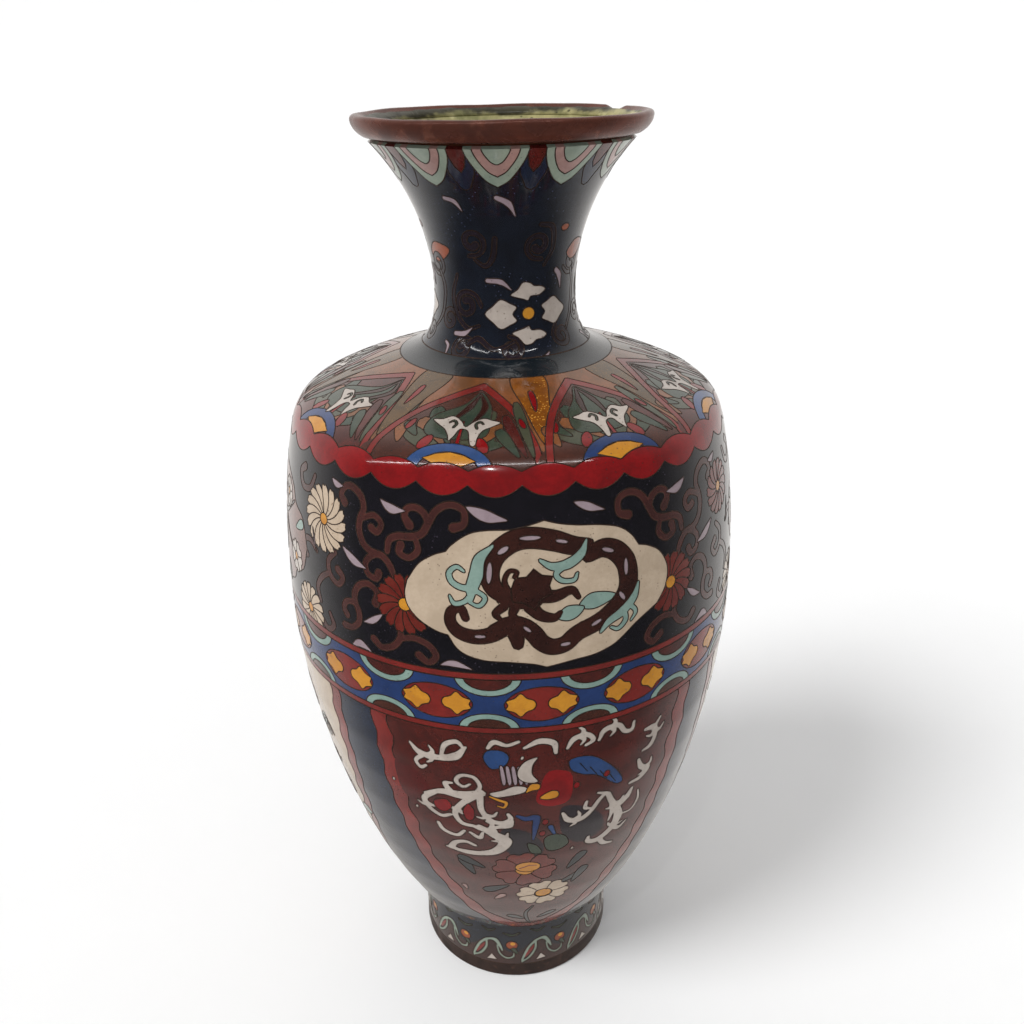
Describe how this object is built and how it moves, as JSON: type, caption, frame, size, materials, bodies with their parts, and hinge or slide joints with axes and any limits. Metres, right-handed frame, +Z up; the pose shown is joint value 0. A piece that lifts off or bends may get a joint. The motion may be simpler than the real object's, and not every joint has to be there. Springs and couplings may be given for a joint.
{
  "type": "cloisonne vase",
  "caption": "Tall baluster vase in cloisonne enamel on copper: flared neck with a rolled rim, broad shoulder, tapering body and a low round foot.",
  "frame": {"origin": "centre of the circle the foot stands on", "axes": "+Z up along the axis of the vase; -Y faces the side with the dragon reserve"},
  "size_m": [0.1206, 0.1206, 0.25],
  "materials": {
    "copper": "dull, oxidised copper sheet",
    "rim_copper": "brown patinated copper, satin",
    "wire": "dark copper wire, polished flush",
    "lime_glaze": "mottled yellow-green counter glaze",
    "slate_glaze": "slate-blue enamel, polished",
    "red_enamel": "opaque dark red enamel, polished",
    "black_enamel": "black enamel, polished",
    "navy_enamel": "blue-black enamel, polished",
    "blue_enamel": "mid-blue enamel, polished",
    "olive_enamel": "olive-brown enamel, polished",
    "brown_enamel": "red-brown enamel, polished",
    "sage_enamel": "pale sage enamel, polished"
  },
  "bodies": {
    "root": {"rim_roll": "rim_copper", "neck_sheet": "copper", "upper_body_sheet": "copper", "lower_body_sheet": "copper", "lining": "lime_glaze", "foot_band": "rim_copper", "foot_sheet": "copper", "foot_seam": "wire", "under_enamel": "slate_glaze", "foot_wire": "wire", "foot_enamel": "navy_enamel", "panel_enamel": "brown_enamel", "wire_panel_top": "wire", "belt_line_low": "red_enamel", "wire_belt_low": "wire", "belt_enamel": "blue_enamel", "wire_belt_high": "wire", "belt_line_high": "red_enamel", "wire_frieze_low": "wire", "frieze_enamel": "black_enamel", "wire_scallop": "wire", "scallop_enamel": "red_enamel", "wire_ledge": "wire", "shoulder_enamel": "olive_enamel", "wire_root": "wire", "slate_enamel": "slate_glaze", "wire_slate": "wire", "neck_enamel": "navy_enamel", "wire_collar": "wire", "collar_enamel": "sage_enamel"}
  },
  "joints": []
}
